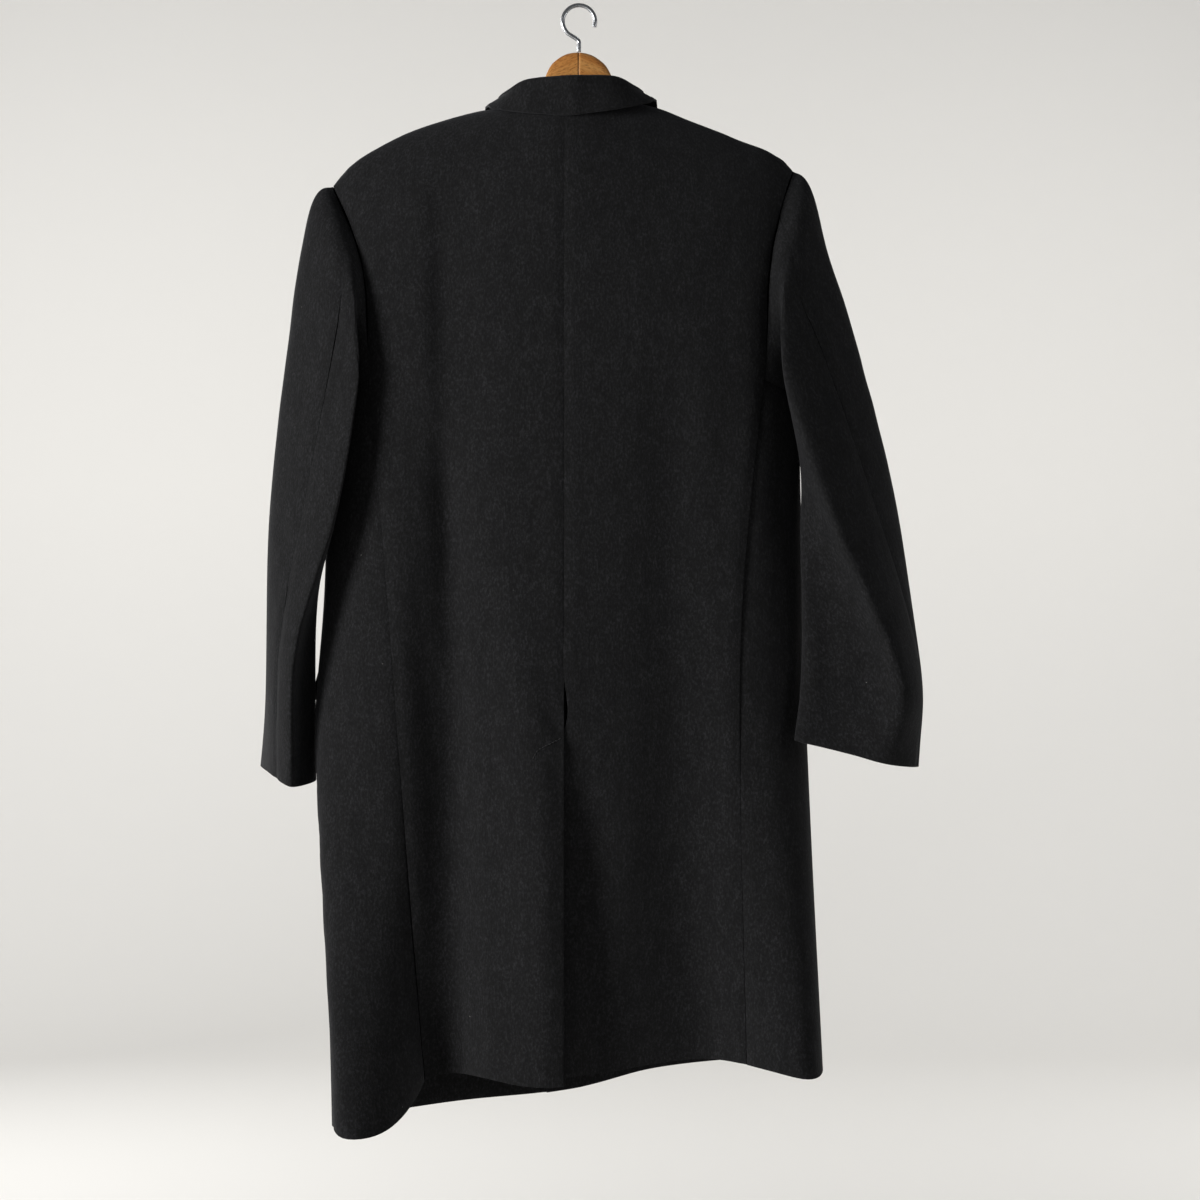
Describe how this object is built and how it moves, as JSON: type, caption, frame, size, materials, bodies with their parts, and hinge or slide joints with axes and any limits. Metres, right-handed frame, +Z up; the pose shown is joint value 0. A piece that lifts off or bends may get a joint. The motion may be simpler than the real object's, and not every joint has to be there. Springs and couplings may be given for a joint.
{
  "type": "overcoat on hanger",
  "caption": "Knee-length single-breasted overcoat of dark wool melton with a turned-down collar, lapels and a back vent, hanging on a contoured wooden hanger.",
  "frame": {"origin": "inside of the hook's bend, where the hook rests on its rail", "axes": "+Z up, from the hem to the hook; +Y out of the back of the coat; +X towards the wearer's left sleeve"},
  "size_m": [0.7191, 0.2201, 1.1943],
  "materials": {
    "melton": "matt napped wool, nap brushed downwards",
    "wood": "clear satin lacquer over pale hardwood",
    "steel": "bright drawn wire",
    "horn": "satin horn-coloured resin"
  },
  "bodies": {
    "root": {"back_left": "melton", "side_left": "melton", "front_left": "melton", "back_right": "melton", "side_right": "melton", "front_right": "melton", "sleeve_left_top": "melton", "sleeve_left_under": "melton", "sleeve_right_top": "melton", "sleeve_right_under": "melton", "lapel_left": "melton", "lapel_right": "melton", "collar": "melton", "flap_left": "melton", "flap_right": "melton", "button_1": "horn", "button_2": "horn", "button_3": "horn", "hanger_left": "wood", "hanger_right": "wood", "hook": "steel"}
  },
  "joints": []
}
